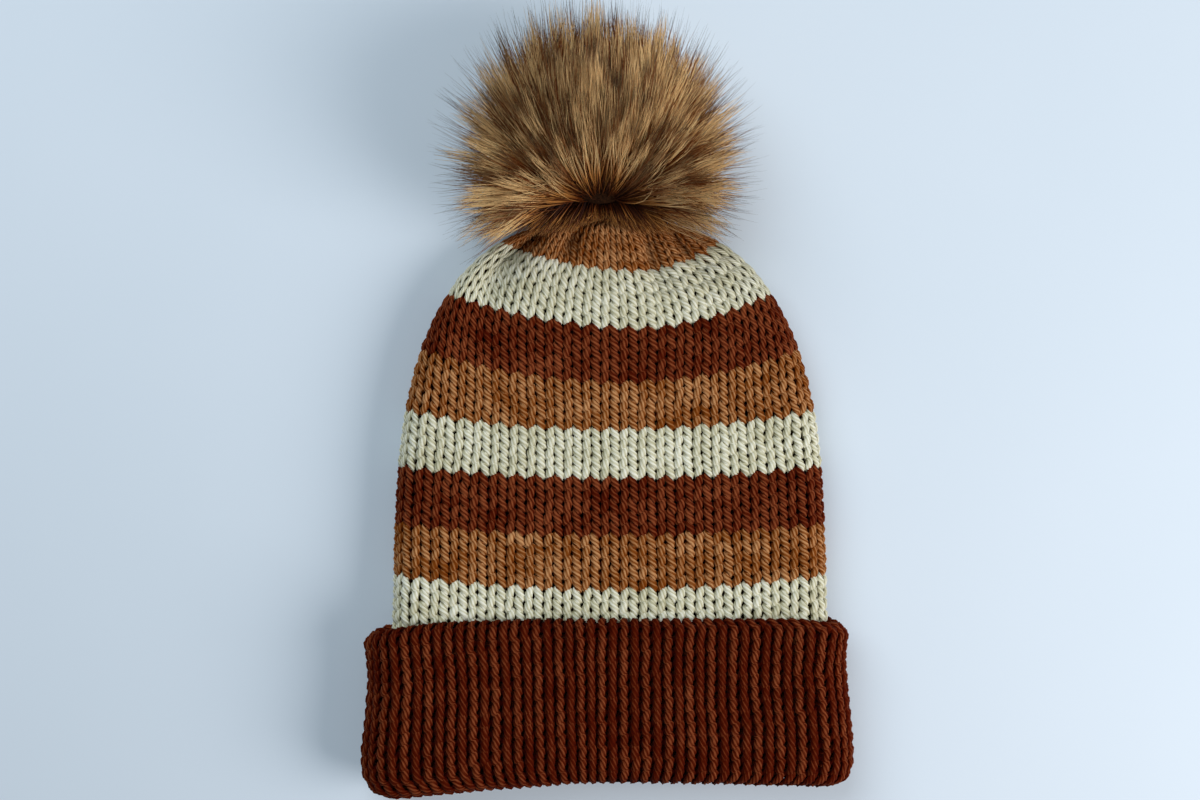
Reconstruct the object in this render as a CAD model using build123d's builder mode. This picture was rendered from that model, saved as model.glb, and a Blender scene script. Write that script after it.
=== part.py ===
from build123d import *
import math
import os

os.makedirs("parts", exist_ok=True)

# A pom pom beanie lying flat on its back. X runs across the hat, Y from the mouth to the
# crown and the pom, Z up. The origin is on the table under the middle of the whole piece.

# ---------------------------------------------------------------- driving dimensions, mm
TOTAL_LENGTH = 381.0  # mouth to the tips of the fur
FABRIC = 3.4  # one layer of knitting
LAYER_GAP = 0.3  # between two layers that lie on each other
SIDE_SLACK = 5.0  # how much narrower the lining lies than the shell
MOUTH_Y = -TOTAL_LENGTH / 2

# The cuff is the bottom of the double tube, turned up once
CUFF_HALF_WIDTH = 119.5
CUFF_HALF_HEIGHT = 21.0
CUFF_LENGTH = 82.5
CUFF_CORNER = 5.0
FOLD_ROUNDING = 1.6
CUFF_Z = CUFF_HALF_HEIGHT

# The shell above the cuff narrows to the gathered nose like a curve of the third power
CUFF_EXIT = 84.0  # distances along the hat are measured from the mouth
NOSE = 277.6
BODY_HALF_WIDTH = 107.0
BODY_HALF_HEIGHT = 13.6
BODY_Z = 15.0
OUTLINE_POWER = 3
SETTLING_SHARE = 0.3  # share of the length over which the body comes down from the cuff
THINNING_POWER = 12
RISING_POWER = 16
NOSE_HALF_WIDTH = 8.5
NOSE_HALF_HEIGHT = 3.8
NOSE_Z = 20.6
STATIONS = 14
SHELL_CAVITY_END = (272.5, 36.0, 4.0, 18.8)
LINING_END = (264.0, 46.0, 4.5, 16.6)
LINING_CAVITY_END = (261.0, 42.0, 2.4, 16.2)
SHELL_CAVITY_STATIONS = 12
LINING_STATIONS = 11

# Colour changes: distance of the lowest point from the mouth, and the radius of the row's arc
STRIPE_EDGES = [
    (277.7, 90.0),
    (254.4, 112.0),
    (224.2, 175.0),
    (198.3, 264.0),
    (175.4, 540.0),
    (152.0, 930.0),
    (125.1, 1400.0),
    (99.7, 1400.0),
    (70.0, 1400.0),
]
STRIPE_COLOURS = ["caramel", "cream", "rust", "caramel", "cream", "rust", "caramel", "cream"]
SHELL_BRIM_TOP = STRIPE_EDGES[-1][0]
KNOT_RADIUS = 1.5

# The pom turns on its snap. Distances s are from the pivot, along the pom's axis.
PIVOT = (-3.5, MOUTH_Y + 282.4, 21.0)
POM_TILT = 30.0  # the pom lies on the table, so its axis points up by this angle
PILE_RADIUS = 70.0
POM_CENTRE_S = 33.0
PILE_BASE_ANGLE = 10.0  # the base of the fur leans away from the crown by this angle
PILE_BASE_S = 4.6
PILE_RIM_ROUNDING = 4.0
BACKING_RADIUS = 26.0
BACKING_THICKNESS = 1.2
BACKING_BASE_S = 9.0

SNAP_RADIUS = 7.5
THREAD_BALL_RADIUS = 3.0
SOCKET_RECESS_RADIUS = 3.3
SOCKET_BOTTOM_S = 2.4
SOCKET_NECK_RADIUS = 3.6
SOCKET_SHOULDER_S = 4.4
SOCKET_TOP_S = 6.9
SOCKET_FLOOR_S = 3.9
SOCKET_BORE_RADIUS = 2.25
STUD_POST_RADIUS = 2.2
STUD_POST_END_S = 4.2
STUD_FLANGE_S = (7.2, 8.7)
STUD_NECK_RADIUS = 1.6
STUD_NECK_END_S = 11.5
NECK_HOLE_RADIUS = 1.7
CAP_RADIUS = 6.0
CAP_S = (10.5, 12.1)
GATHER_RING_RADIUS = 8.2
GATHER_THREAD_RADIUS = 0.7
GATHER_S = 11.6

CINCH_YARN_RADIUS = 0.8
CINCH_RING_RADIUS = 3.6
CINCH_GAP = 0.05  # between the cinch yarn and the crown that it closes
CLEARANCE = 0.3

# Tools that cut the tube into stripes: how much of a row's arc is used, and how tall they are
EDGE_ARC_SHARE = 0.94
CUTTER_HEIGHT = 4 * CUFF_HALF_HEIGHT


def shell_section(share):
    """Distance, half width, half height and middle height at a share of the way to the nose."""
    narrowing = (1 - share**OUTLINE_POWER) ** (1 / OUTLINE_POWER)
    thinning = math.sqrt(1 - share**THINNING_POWER)
    settling = max(0.0, 1 - share / SETTLING_SHARE) ** 2
    rising = share**RISING_POWER
    return (
        CUFF_EXIT + share * (NOSE - CUFF_EXIT),
        max(NOSE_HALF_WIDTH, BODY_HALF_WIDTH * narrowing),
        NOSE_HALF_HEIGHT + (BODY_HALF_HEIGHT - NOSE_HALF_HEIGHT) * thinning,
        BODY_Z + (CUFF_Z - BODY_Z) * settling + (NOSE_Z - BODY_Z) * rising,
    )


def section_plane(distance, middle_z):
    """The plane across the hat at a distance from the mouth."""
    return Plane(origin=(0, MOUTH_Y + distance, middle_z), x_dir=(1, 0, 0), z_dir=(0, 1, 0))


def shrunk(sections, sides, faces):
    """The same sections, narrower by `sides` and thinner by `faces` on each side."""
    return [(d, w - sides, h - faces, z) for d, w, h, z in sections]


def lofted_tube(sections):
    """A solid through flattened round sections."""
    with BuildPart() as tube:
        for distance, half_width, half_height, middle_z in sections:
            with BuildSketch(section_plane(distance, middle_z)):
                SlotOverall(2 * half_width, 2 * half_height)
        loft(ruled=True)
    return tube.part


def straight_tube(start, end, half_width, half_height):
    """A solid with one flattened round section, round the middle of the cuff."""
    with BuildPart() as tube:
        with BuildSketch(section_plane(start, CUFF_Z)):
            SlotOverall(2 * half_width, 2 * half_height)
        extrude(amount=end - start)
    return tube.part


def hat_tube(start, sections):
    """A solid that runs straight inside the cuff and follows the sections above it."""
    above_cuff, half_width, half_height, _ = sections[0]
    with BuildPart() as tube:
        add(straight_tube(start, above_cuff, half_width, half_height))
        add(lofted_tube(sections))
    return tube.part


def export(piece, name):
    """Label a finished piece and write its STEP file."""
    piece.label = name
    export_step(piece, f"parts/{name}.step")


# ---------------------------------------------------------------- the knitted double tube
shell_sections = [
    shell_section(math.sin(math.pi / 2 * station / STATIONS)) for station in range(STATIONS + 1)
]
lining_sections = shell_sections[:LINING_STATIONS]
lining_inset = FABRIC + SIDE_SLACK
lining_start = FABRIC + LAYER_GAP
mouth_half_width = BODY_HALF_WIDTH - lining_inset - FABRIC
mouth_half_height = BODY_HALF_HEIGHT - 2 * FABRIC - LAYER_GAP

with BuildPart() as shell_fabric:
    add(hat_tube(STRIPE_EDGES[-1][0], shell_sections))
    add(
        hat_tube(
            STRIPE_EDGES[-1][0],
            shrunk(shell_sections[:SHELL_CAVITY_STATIONS], FABRIC, FABRIC) + [SHELL_CAVITY_END],
        ),
        mode=Mode.SUBTRACT,
    )


def edge_arc(distance, radius):
    """A row of stitches across the hat: the ends of its arc and its lowest point."""
    half_span = min(CUFF_HALF_WIDTH, EDGE_ARC_SHARE * radius)
    sag = radius - math.sqrt(radius**2 - half_span**2)
    lowest = MOUTH_Y + distance
    return (-half_span, lowest + sag), (0, lowest), (half_span, lowest + sag)


for number, colour in enumerate(STRIPE_COLOURS, start=1):
    upper = edge_arc(*STRIPE_EDGES[number - 1])
    lower = edge_arc(*STRIPE_EDGES[number])
    if number == 1:
        upper = [(x, y + SNAP_RADIUS) for x, y in upper]
    with BuildPart() as stripe:
        add(shell_fabric.part)
        with BuildSketch(Plane.XY.offset(-CUFF_HALF_HEIGHT)):
            with BuildLine():
                ThreePointArc(*lower)
                Line(lower[2], upper[2])
                ThreePointArc(*upper)
                Line(upper[0], lower[0])
            make_face()
        extrude(amount=CUTTER_HEIGHT, mode=Mode.INTERSECT)
    export(stripe.part, f"stripe_{number}_{colour}")

# The shell goes on under the cuff in rust, turns at the mouth and comes back up as the
# hidden layer of the cuff
backing_outer_height = CUFF_HALF_HEIGHT - FABRIC - LAYER_GAP
backing_outer_width = CUFF_HALF_WIDTH - FABRIC - LAYER_GAP
backing_inner_height = backing_outer_height - FABRIC
backing_inner_width = backing_outer_width - FABRIC
brim_bottom = FABRIC + LAYER_GAP
brim_floor = brim_bottom + FABRIC
backing_top = CUFF_LENGTH - FABRIC - LAYER_GAP

with BuildPart() as shell_brim:
    add(straight_tube(brim_bottom, SHELL_BRIM_TOP, BODY_HALF_WIDTH, BODY_HALF_HEIGHT))
    add(straight_tube(brim_bottom, brim_floor, backing_outer_width, backing_outer_height))
    add(
        straight_tube(
            brim_bottom,
            SHELL_BRIM_TOP,
            BODY_HALF_WIDTH - FABRIC,
            BODY_HALF_HEIGHT - FABRIC,
        ),
        mode=Mode.SUBTRACT,
    )
    with BuildSketch(Plane.XY.offset(-CUFF_HALF_HEIGHT)):
        with BuildLine():
            left, low, right = edge_arc(*STRIPE_EDGES[-1])
            ThreePointArc(left, low, right)
            Line(right, (right[0], MOUTH_Y))
            Line((right[0], MOUTH_Y), (left[0], MOUTH_Y))
            Line((left[0], MOUTH_Y), left)
        make_face()
    extrude(amount=CUTTER_HEIGHT, mode=Mode.INTERSECT)
export(shell_brim.part, "shell_brim")

with BuildPart() as cuff_backing:
    add(straight_tube(brim_floor, backing_top, backing_outer_width, backing_outer_height))
    add(
        straight_tube(brim_floor, backing_top, backing_inner_width, backing_inner_height),
        mode=Mode.SUBTRACT,
    )
export(cuff_backing.part, "cuff_backing")

# The lining turns round the mouth too, and comes up as the face of the cuff, with a
# rounded fold along the top
with BuildPart() as cuff_face:
    add(straight_tube(0, CUFF_LENGTH, CUFF_HALF_WIDTH, CUFF_HALF_HEIGHT))
    mouth_edge = cuff_face.faces().sort_by(Axis.Y)[0].edges()
    fillet(mouth_edge, CUFF_CORNER)
    top_edge = cuff_face.faces().sort_by(Axis.Y)[-1].edges()
    fillet(top_edge, CUFF_CORNER / 2)
    add(
        straight_tube(
            FABRIC,
            CUFF_LENGTH - FABRIC,
            CUFF_HALF_WIDTH - FABRIC,
            CUFF_HALF_HEIGHT - FABRIC,
        ),
        mode=Mode.SUBTRACT,
    )
    add(
        straight_tube(FABRIC, CUFF_LENGTH, backing_inner_width, backing_inner_height),
        mode=Mode.SUBTRACT,
    )
    add(
        straight_tube(0, FABRIC, mouth_half_width, mouth_half_height),
        mode=Mode.SUBTRACT,
    )
export(cuff_face.part, "cuff_face")

with BuildPart() as lining:
    add(
        hat_tube(
            lining_start,
            shrunk(lining_sections, lining_inset, FABRIC + LAYER_GAP) + [LINING_END],
        )
    )
    add(
        hat_tube(
            lining_start,
            shrunk(lining_sections, lining_inset + FABRIC, 2 * FABRIC + LAYER_GAP)
            + [LINING_CAVITY_END],
        ),
        mode=Mode.SUBTRACT,
    )
export(lining.part, "lining")

# ---------------------------------------------------------------- yarns that close the crowns
with BuildPart() as shell_cinch_yarn:
    with Locations(section_plane(NOSE + CINCH_YARN_RADIUS + CINCH_GAP, PIVOT[2])):
        with Locations((PIVOT[0], 0, 0)):
            Torus(CINCH_RING_RADIUS, CINCH_YARN_RADIUS)
export(shell_cinch_yarn.part, "shell_cinch_yarn")

with BuildPart() as lining_cinch_yarn:
    with Locations(section_plane(LINING_END[0] + CINCH_YARN_RADIUS + CINCH_GAP, LINING_END[3])):
        Torus(CINCH_RING_RADIUS, CINCH_YARN_RADIUS)
export(lining_cinch_yarn.part, "lining_cinch_yarn")

# Each colour change leaves two yarn ends knotted between the layers, along the right side
with BuildPart() as yarn_end_knots:
    for distance, _ in STRIPE_EDGES[1:]:
        share = max(0.0, (distance - CUFF_EXIT) / (NOSE - CUFF_EXIT))
        _, half_width, _, middle_z = shell_section(share)
        side = half_width - FABRIC - SIDE_SLACK / 2
        with Locations((side, MOUTH_Y + distance, middle_z)):
            Sphere(KNOT_RADIUS)
export(yarn_end_knots.part, "yarn_end_knots")

# ---------------------------------------------------------------- the snap and the pom
tilt = math.radians(POM_TILT)
POM_DIRECTION = (0, math.cos(tilt), math.sin(tilt))
POM_AXIS = Axis(PIVOT, POM_DIRECTION)
PROFILE = Plane(origin=PIVOT, x_dir=(1, 0, 0), z_dir=(0, -math.sin(tilt), math.cos(tilt)))
POM_PLANE = Plane(origin=PIVOT, x_dir=(1, 0, 0), z_dir=POM_DIRECTION)

with BuildPart() as socket_thread:
    with Locations(PIVOT):
        Sphere(THREAD_BALL_RADIUS)
export(socket_thread.part, "socket_thread")

with BuildPart() as snap_socket:
    with BuildSketch(PROFILE):
        Polygon(
            (0, SOCKET_BOTTOM_S),
            (SOCKET_NECK_RADIUS, SOCKET_BOTTOM_S),
            (SNAP_RADIUS, SOCKET_SHOULDER_S),
            (SNAP_RADIUS, SOCKET_TOP_S),
            (SOCKET_BORE_RADIUS, SOCKET_TOP_S),
            (SOCKET_BORE_RADIUS, SOCKET_FLOOR_S),
            (0, SOCKET_FLOOR_S),
            align=None,
        )
    revolve(axis=POM_AXIS)
    with Locations(PIVOT):
        Sphere(SOCKET_RECESS_RADIUS, mode=Mode.SUBTRACT)
export(snap_socket.part, "snap_socket")

with BuildPart() as snap_stud:
    with BuildSketch(PROFILE):
        Polygon(
            (0, STUD_POST_END_S),
            (STUD_POST_RADIUS, STUD_POST_END_S),
            (STUD_POST_RADIUS, STUD_FLANGE_S[0]),
            (SNAP_RADIUS, STUD_FLANGE_S[0]),
            (SNAP_RADIUS, STUD_FLANGE_S[1]),
            (STUD_NECK_RADIUS, STUD_FLANGE_S[1]),
            (STUD_NECK_RADIUS, STUD_NECK_END_S),
            (0, STUD_NECK_END_S),
            align=None,
        )
    revolve(axis=POM_AXIS)
export(snap_stud.part, "snap_stud")

with BuildPart() as stud_cap:
    with BuildSketch(POM_PLANE.offset(CAP_S[0])):
        Circle(CAP_RADIUS)
    extrude(amount=CAP_S[1] - CAP_S[0])
    with BuildSketch(POM_PLANE.offset(CAP_S[0])):
        Circle(STUD_NECK_RADIUS)
    extrude(amount=STUD_NECK_END_S - CAP_S[0], mode=Mode.SUBTRACT)
export(stud_cap.part, "stud_cap")


def pom_ball(radius, base_s):
    """A ball round the pom's middle, cut flat where it sits on the snap."""
    with BuildPart() as ball:
        with Locations(POM_PLANE.offset(POM_CENTRE_S)):
            Sphere(radius)
        split(bisect_by=POM_PLANE.offset(base_s), keep=Keep.TOP)
    return ball.part


with BuildPart() as pom_backing:
    add(pom_ball(BACKING_RADIUS, BACKING_BASE_S))
    add(
        pom_ball(BACKING_RADIUS - BACKING_THICKNESS, BACKING_BASE_S + BACKING_THICKNESS),
        mode=Mode.SUBTRACT,
    )
    with BuildSketch(POM_PLANE.offset(BACKING_BASE_S)):
        Circle(NECK_HOLE_RADIUS)
    extrude(amount=BACKING_THICKNESS, mode=Mode.SUBTRACT)
export(pom_backing.part, "pom_backing")

filling_base_s = BACKING_BASE_S + BACKING_THICKNESS + CLEARANCE
with BuildPart() as pom_filling:
    add(pom_ball(BACKING_RADIUS - BACKING_THICKNESS - CLEARANCE, filling_base_s))
    with BuildSketch(POM_PLANE.offset(filling_base_s)):
        Circle(GATHER_RING_RADIUS + GATHER_THREAD_RADIUS + CLEARANCE)
    extrude(amount=CAP_S[1] + 2 * CLEARANCE - filling_base_s, mode=Mode.SUBTRACT)
export(pom_filling.part, "pom_filling")

with BuildPart() as pom_gather_thread:
    with Locations(POM_PLANE.offset(GATHER_S)):
        Torus(GATHER_RING_RADIUS, GATHER_THREAD_RADIUS)
export(pom_gather_thread.part, "pom_gather_thread")

# The fur is a fan round the pom's axis: a ball whose base opens a little, flat on the table
pile_hole = BACKING_BASE_S
inner_radius = BACKING_RADIUS + CLEARANCE
inner_meet_s = POM_CENTRE_S - math.sqrt(inner_radius**2 - pile_hole**2)
slope = math.tan(math.radians(PILE_BASE_ANGLE))
base_from_centre = POM_CENTRE_S - PILE_BASE_S + slope * pile_hole
rim_radius = (
    slope * base_from_centre
    + math.sqrt((1 + slope**2) * PILE_RADIUS**2 - base_from_centre**2)
) / (1 + slope**2)
rim_s = PILE_BASE_S + slope * (rim_radius - pile_hole)
with BuildPart() as pom_pile:
    with BuildSketch(PROFILE) as pile_profile:
        with BuildLine():
            Line((pile_hole, PILE_BASE_S), (rim_radius, rim_s))
            ThreePointArc(
                (rim_radius, rim_s),
                (PILE_RADIUS, POM_CENTRE_S),
                (0, POM_CENTRE_S + PILE_RADIUS),
            )
            Line((0, POM_CENTRE_S + PILE_RADIUS), (0, POM_CENTRE_S + inner_radius))
            ThreePointArc(
                (0, POM_CENTRE_S + inner_radius),
                (inner_radius, POM_CENTRE_S),
                (pile_hole, inner_meet_s),
            )
            Line((pile_hole, inner_meet_s), (pile_hole, PILE_BASE_S))
        make_face()
        rim = pile_profile.vertices().sort_by_distance(PROFILE.from_local_coords((rim_radius, rim_s)))
        fillet(rim[0], PILE_RIM_ROUNDING)
    revolve(axis=POM_AXIS)
    split(bisect_by=Plane.XY, keep=Keep.TOP)
export(pom_pile.part, "pom_pile")
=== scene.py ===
import math
from collections import namedtuple

import bmesh
import bpy
import numpy as np
from mathutils import Matrix, Vector


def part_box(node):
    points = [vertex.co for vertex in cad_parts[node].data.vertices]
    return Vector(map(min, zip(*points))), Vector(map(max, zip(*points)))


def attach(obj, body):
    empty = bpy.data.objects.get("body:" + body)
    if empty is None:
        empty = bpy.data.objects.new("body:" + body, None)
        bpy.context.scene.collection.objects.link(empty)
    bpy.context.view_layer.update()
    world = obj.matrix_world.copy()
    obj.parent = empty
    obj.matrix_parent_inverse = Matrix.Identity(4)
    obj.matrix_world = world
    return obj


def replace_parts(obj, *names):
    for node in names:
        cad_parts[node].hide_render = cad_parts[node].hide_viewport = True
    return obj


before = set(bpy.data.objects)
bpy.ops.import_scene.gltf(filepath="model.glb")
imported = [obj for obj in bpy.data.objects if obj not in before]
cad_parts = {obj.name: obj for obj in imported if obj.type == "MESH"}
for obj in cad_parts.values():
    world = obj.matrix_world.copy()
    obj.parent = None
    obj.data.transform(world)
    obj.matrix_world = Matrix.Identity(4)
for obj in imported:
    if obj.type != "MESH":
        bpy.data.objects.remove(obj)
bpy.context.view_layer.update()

MM = 0.001
random = np.random.default_rng(20)

# ---------------------------------------------------------------- places from the frame
CUFF_LOW, CUFF_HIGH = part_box("cuff_face")
MOUTH_Y = CUFF_LOW.y
CUFF_TOP_Y = CUFF_HIGH.y
CUFF_HALF_WIDTH = CUFF_HIGH.x
CUFF_Z = (CUFF_LOW.z + CUFF_HIGH.z) / 2
CUFF_HALF_HEIGHT = CUFF_HIGH.z - CUFF_Z
BODY_HALF_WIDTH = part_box("stripe_8_cream")[1].x
NOSE_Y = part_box("shell_cinch_yarn")[0].y
PIVOT = sum(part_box("socket_thread"), Vector()) / 2
POM_CENTRE = np.array(sum(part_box("pom_backing"), Vector()) / 2)
BACKING_RADIUS = (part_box("pom_backing")[1].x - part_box("pom_backing")[0].x) / 2
POM_RADIUS = (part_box("pom_pile")[1].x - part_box("pom_pile")[0].x) / 2
POM_AXIS = POM_CENTRE - np.array(PIVOT)
POM_AXIS /= np.linalg.norm(POM_AXIS)

# ---------------------------------------------------------------- camera, floor and light
CAMERA_HEIGHT = 0.84
camera_data = bpy.data.cameras.new("camera")
camera_data.lens = 50
camera_data.sensor_width = 36
camera = bpy.data.objects.new("camera", camera_data)
camera.location = (PIVOT.x, 0, CAMERA_HEIGHT)
bpy.context.scene.collection.objects.link(camera)
bpy.context.scene.camera = camera


def linear(red, green, blue):
    """A colour given as 0 to 255 on a screen, as the renderer's linear values."""
    return tuple((c / 255) ** 2.2 for c in (red, green, blue)) + (1.0,)


def area_light(name, place, aim, size, power, colour):
    data = bpy.data.lights.new(name, "AREA")
    data.shape = "DISK"
    data.size = size
    data.energy = power
    data.color = colour
    light = bpy.data.objects.new(name, data)
    light.location = place
    light.rotation_euler = (Vector(aim) - Vector(place)).to_track_quat("-Z", "Y").to_euler()
    bpy.context.scene.collection.objects.link(light)


area_light("window", (1.0, -0.35, 0.78), (0.0, 0.0, 0.0), 0.9, 13.9, (1.0, 0.97, 0.93))
area_light("bounce", (-0.45, 0.7, 1.1), (0.0, 0.0, 0.0), 1.2, 11.0, (0.90, 0.98, 1.0))

world = bpy.data.worlds.new("studio")
world.use_nodes = True
world.node_tree.nodes["Background"].inputs["Color"].default_value = (0.76, 0.90, 1.0, 1)
world.node_tree.nodes["Background"].inputs["Strength"].default_value = 0.18
bpy.context.scene.world = world
bpy.context.scene.view_settings.view_transform = "Standard"


# ---------------------------------------------------------------- materials
def shader(name, roughness, specular=0.3, sheen=0.0):
    """A new material with its node tree and principled shader."""
    material = bpy.data.materials.new(name)
    material.use_nodes = True
    principled = material.node_tree.nodes["Principled BSDF"]
    principled.inputs["Roughness"].default_value = roughness
    principled.inputs["Specular IOR Level"].default_value = specular
    principled.inputs["Sheen Weight"].default_value = sheen
    principled.inputs["Sheen Roughness"].default_value = 0.4
    return material, material.node_tree, principled


def add_node(tree, kind, inputs=None, **settings):
    """A node of a kind, with its settings and the values or links of its inputs."""
    node = tree.nodes.new(kind)
    for key, value in settings.items():
        setattr(node, key, value)
    for key, value in (inputs or {}).items():
        if isinstance(value, bpy.types.NodeSocket):
            tree.links.new(value, node.inputs[key])
        else:
            node.inputs[key].default_value = value
    return node


def math_node(tree, operation, first, second=0.0):
    return add_node(tree, "ShaderNodeMath", {0: first, 1: second}, operation=operation).outputs[0]


def ramp(tree, factor, stops):
    """A colour ramp through (position, colour) stops."""
    node = add_node(tree, "ShaderNodeValToRGB", {"Fac": factor})
    elements = node.color_ramp.elements
    while len(elements) < len(stops):
        elements.new(0.5)
    for element, (position, colour) in zip(elements, stops):
        element.position = position
        element.color = colour
    return node.outputs["Color"]


def bump(tree, principled, height, strength, distance):
    node = add_node(
        tree, "ShaderNodeBump", {"Height": height, "Strength": strength, "Distance": distance}
    )
    tree.links.new(node.outputs["Normal"], principled.inputs["Normal"])


FIBRES_ALONG = 1.6  # to a centimetre of yarn
FIBRES_AROUND = 26.0
FIBRE_CONTRAST = 0.75
MOTTLE_SCALE = 95.0  # to a metre of cloth
MOTTLE_CONTRAST = 0.35
YARN_STOPS = (0.0, 0.28, 0.62, 1.0)


def yarn_material(name, painted_deep_shade, dark, middle, light):
    """Plied yarn: fibres run along the plies, and each stitch has its own tone.
    Painted shade darkens it where the yarn lies deep in the cloth, in the plies' valleys and on its under
    side, and a painted highlight lightens the leg that leans more."""
    material, tree, principled = shader(name, 0.85, 0.03, 0.01)
    uv = add_node(tree, "ShaderNodeUVMap", uv_map="yarn")
    split = add_node(tree, "ShaderNodeSeparateXYZ", {0: uv.outputs["UV"]})
    along = math_node(tree, "MULTIPLY", split.outputs["X"], FIBRES_ALONG)
    around = math_node(tree, "MULTIPLY", split.outputs["Y"], FIBRES_AROUND)
    lengthways = add_node(tree, "ShaderNodeCombineXYZ", {0: along, 1: around})
    fibres = add_node(
        tree,
        "ShaderNodeTexNoise",
        {"Vector": lengthways.outputs[0], "Scale": 1.0, "Detail": 3.0, "Roughness": 0.6},
    ).outputs["Fac"]
    place = add_node(tree, "ShaderNodeTexCoord").outputs["Object"]
    mottle = add_node(
        tree, "ShaderNodeTexNoise", {"Vector": place, "Scale": MOTTLE_SCALE, "Detail": 2.0}
    ).outputs["Fac"]
    # The tone attribute holds each stitch's own tone together with painted shade and a painted highlight
    tone = add_node(tree, "ShaderNodeAttribute", attribute_name="tone").outputs["Fac"]
    fibres_part = math_node(tree, "MULTIPLY", math_node(tree, "SUBTRACT", fibres, 0.5), FIBRE_CONTRAST)
    mottle_part = math_node(tree, "MULTIPLY", math_node(tree, "SUBTRACT", mottle, 0.5), MOTTLE_CONTRAST)
    factor = math_node(tree, "ADD", math_node(tree, "ADD", fibres_part, mottle_part), tone)
    colour = ramp(tree, factor, tuple(zip(YARN_STOPS, (painted_deep_shade, dark, middle, light))))
    tree.links.new(colour, principled.inputs["Base Color"])
    bump(tree, principled, fibres, 0.55, 0.5 * MM)
    return material


def noisy_material(name, dark, light, roughness, scale, specular=0.3, depth=0.3 * MM):
    """A surface with a soft change of tone and a fine grain."""
    material, tree, principled = shader(name, roughness, specular)
    place = add_node(tree, "ShaderNodeTexCoord").outputs["Object"]
    grain = add_node(
        tree, "ShaderNodeTexNoise", {"Vector": place, "Scale": scale, "Detail": 4.0}
    ).outputs["Fac"]
    tree.links.new(ramp(tree, grain, [(0.3, dark), (0.7, light)]), principled.inputs["Base Color"])
    bump(tree, principled, grain, 0.5, depth)
    return material


# Colours along a hair from its root to its tip, for a hair of tone 0 and one of tone 1
GOLDEN_HAIR = (
    (0.0, linear(34, 12, 3)),
    (0.2, linear(116, 58, 18)),
    (0.42, linear(218, 149, 78)),
    (0.7, linear(255, 219, 158)),
    (0.93, linear(244, 199, 140)),
    (1.0, linear(150, 112, 76)),
)
DARK_HAIR = (
    (0.0, linear(22, 8, 2)),
    (0.3, linear(68, 28, 6)),
    (0.6, linear(124, 64, 22)),
    (0.78, linear(128, 72, 32)),
    (0.88, linear(58, 36, 24)),
    (0.96, linear(22, 14, 12)),
)


def fur_material():
    """Faux fur, in which each hair lies between golden and dark."""
    material, tree, principled = shader("faux_fur", 0.5, 0.25)
    along = add_node(tree, "ShaderNodeAttribute", attribute_name="along").outputs["Fac"]
    tone = add_node(tree, "ShaderNodeAttribute", attribute_name="tone").outputs["Fac"]
    golden = ramp(tree, along, GOLDEN_HAIR)
    dark = ramp(tree, along, DARK_HAIR)
    mix = add_node(
        tree, "ShaderNodeMix", {"Factor": tone, "A": golden, "B": dark}, data_type="RGBA"
    )
    tree.links.new(mix.outputs[2], principled.inputs["Base Color"])
    return material


# Each yarn's colours, from the painted shade deep in the cloth to the top of a ply
CREAM = yarn_material(
    "cream_yarn",
    linear(54, 44, 16),
    linear(112, 103, 68),
    linear(196, 191, 160),
    linear(240, 238, 224),
)
RUST = yarn_material(
    "rust_yarn",
    linear(48, 5, 0),
    linear(60, 13, 1),
    linear(77, 24, 4),
    linear(138, 75, 46),
)
CARAMEL = yarn_material(
    "caramel_yarn",
    linear(60, 13, 0),
    linear(88, 32, 1),
    linear(121, 65, 22),
    linear(195, 143, 98),
)
# Rust yarn darkened with painted shade, for the lining and the shell's brim inside the hat
SHADED_RUST = yarn_material(
    "lining_knit",
    linear(8, 3, 1),
    linear(26, 9, 4),
    linear(56, 22, 10),
    linear(84, 38, 20),
)
FUR = fur_material()
UNDERCOAT = noisy_material("undercoat", linear(26, 14, 8), linear(66, 40, 22), 0.9, 900, 0.1, 1 * MM)
THREAD = noisy_material("sewing_thread", linear(60, 34, 18), linear(104, 66, 38), 0.7, 1500)
PLASTIC = noisy_material("snap_plastic", linear(38, 30, 26), linear(56, 46, 40), 0.32, 220, 0.5, 0.05 * MM)
FILLING = noisy_material("polyester_filling", linear(210, 208, 200), linear(240, 238, 232), 0.9, 260)
FLOOR = noisy_material("floor", linear(212, 223, 236), linear(216, 226, 239), 0.9, 3, 0.1, 0.1 * MM)
YARNS = {"caramel": CARAMEL, "cream": CREAM, "rust": RUST}


# ---------------------------------------------------------------- meshes
def grid_faces(strips, rings, sides, closed):
    """Quads over `strips` tubes of `rings` rings with `sides` corners; indexes of the corners."""
    last = rings if closed else rings - 1
    strip, ring, side = np.meshgrid(
        np.arange(strips), np.arange(last), np.arange(sides), indexing="ij"
    )
    following = (ring + 1) % rings
    beside = (side + 1) % sides

    def index(a, b):
        return (strip * rings + a) * sides + b

    corners = (index(ring, side), index(ring, beside), index(following, beside), index(following, side))
    return np.stack(corners, axis=-1).reshape(-1, 4)


def corner_values(near, far, low, high):
    """Values at the four corners of each quad: along the tube and around it."""
    along = np.stack((near, near, far, far), axis=-1)
    around = np.stack((low, high, high, low), axis=-1)
    return np.stack((along, around), axis=-1).reshape(-1, 2)


def bake_layout(cell, cells, ring, rings, side, sides, margin):
    """UVs that give each stitch or hair a square of its own, so that no two share a colour."""
    columns = math.ceil(math.sqrt(cells))
    keep = 1 - 2 * margin
    near = (cell % columns + margin + keep * ring / rings) / columns
    bottom = (cell // columns + margin + keep * side / sides) / columns
    near, bottom = np.broadcast_arrays(near, bottom)
    return corner_values(near, near + keep / rings / columns, bottom, bottom + keep / sides / columns)


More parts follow.
